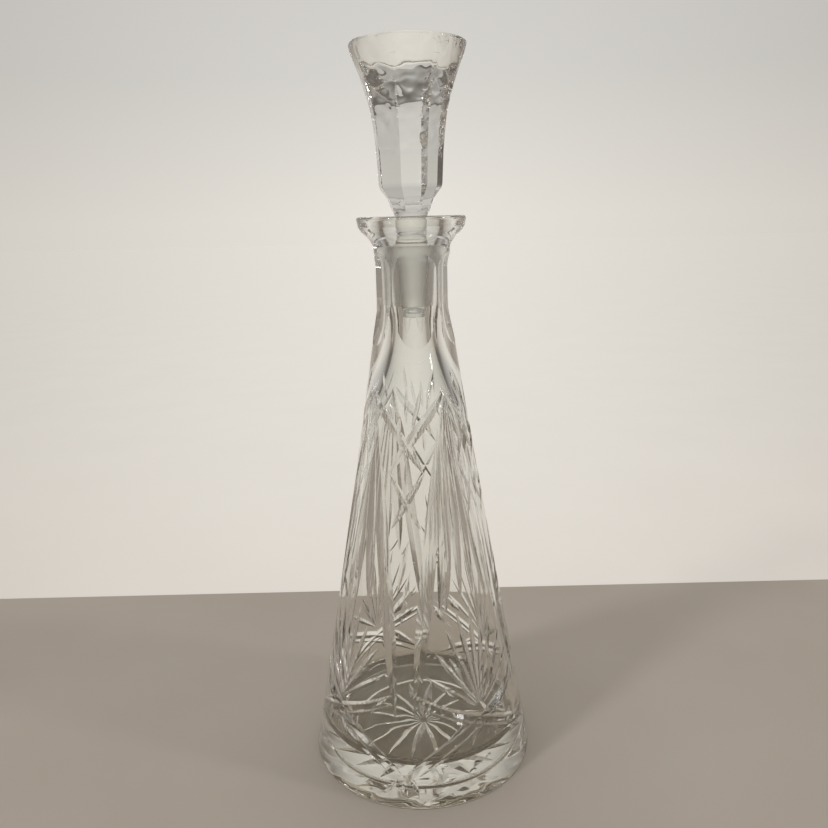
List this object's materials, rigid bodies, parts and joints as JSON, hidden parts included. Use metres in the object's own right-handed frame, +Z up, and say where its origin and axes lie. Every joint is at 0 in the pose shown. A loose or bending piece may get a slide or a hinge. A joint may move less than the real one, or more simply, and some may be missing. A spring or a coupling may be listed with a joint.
{
  "type": "wine decanter",
  "caption": "Tall conical wine decanter of cut lead crystal with a panelled neck, flared rim, star-cut base and a ground-in flared eight-sided stopper.",
  "frame": {"origin": "centre of the foot, on the surface that the decanter stands on", "axes": "+Z up along the axis of the decanter, -Y towards the front"},
  "size_m": [0.123, 0.123, 0.3754],
  "materials": {
    "body_crystal": "polished clear lead crystal with wheel cuts, ground matt inside the bore",
    "stopper_crystal": "polished clear lead crystal, the tapered plug ground matt"
  },
  "bodies": {
    "decanter": {"decanter_body": "body_crystal"},
    "stopper": {"stopper": "stopper_crystal"}
  },
  "joints": [
    {"name": "stopper_lift", "type": "slide", "parent": "decanter", "child": "stopper", "axis": [0, 0, 1], "range_m": [0, 0.06]}
  ]
}
